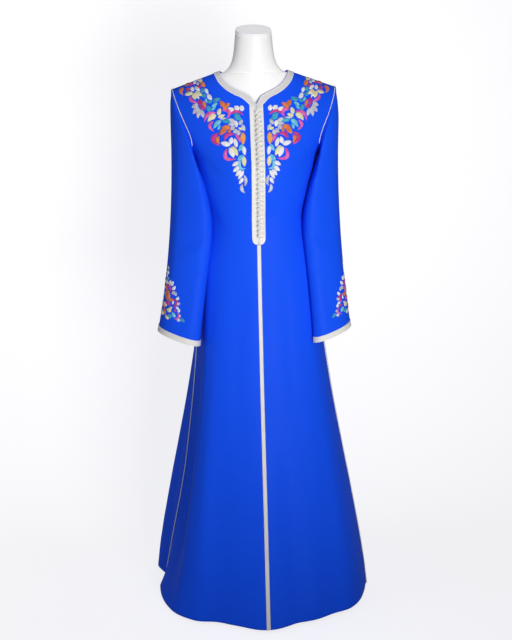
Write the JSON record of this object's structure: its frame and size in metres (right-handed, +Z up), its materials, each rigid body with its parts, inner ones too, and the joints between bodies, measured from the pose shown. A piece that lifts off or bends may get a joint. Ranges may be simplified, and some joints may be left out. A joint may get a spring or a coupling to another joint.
{
  "type": "kaftan on a dress form",
  "caption": "Full-length long-sleeved satin kaftan with braided neck and button placket, worn on a limbless dress form with a hidden stand.",
  "frame": {"origin": "centre of the underside of the stand's round base, on the floor", "axes": "+Z up from the floor, -Y out of the kaftan's front, +X towards the wearer's left, the picture's right"},
  "size_m": [0.6111, 0.5353, 1.5853],
  "materials": {
    "cloth": "royal blue satin-backed crepe with a soft sheen",
    "braid": "flat woven braid in silver-white thread",
    "cord": "round white silk cord and knotted cord buttons",
    "form": "satin white moulded plastic",
    "form_cap": "pale grey moulded plastic",
    "stand": "light grey powder-coated steel"
  },
  "bodies": {
    "root": {"front_left": "cloth", "front_right": "cloth", "back": "cloth", "sleeve_left": "cloth", "sleeve_right": "cloth", "neck_braid": "braid", "placket_left": "braid", "placket_right": "braid", "centre_braid": "braid", "cuff_braid_left": "braid", "cuff_braid_right": "braid", "side_cord_left": "cord", "side_cord_right": "cord", "armhole_cord_left": "cord", "armhole_cord_right": "cord", "button_loops": "cord", "button_01": "cord", "button_02": "cord", "button_03": "cord", "button_04": "cord", "button_05": "cord", "button_06": "cord", "button_07": "cord", "button_08": "cord", "button_09": "cord", "button_10": "cord", "button_11": "cord", "button_12": "cord", "button_13": "cord", "button_14": "cord", "button_15": "cord", "button_16": "cord", "button_17": "cord", "button_18": "cord", "button_19": "cord", "button_20": "cord", "button_21": "cord", "button_22": "cord", "button_23": "cord", "button_24": "cord", "button_25": "cord", "button_26": "cord", "button_27": "cord", "form_torso": "form", "form_neck_cap": "form_cap", "stand_base": "stand", "stand_pole": "stand", "stand_flange": "stand"}
  },
  "joints": []
}
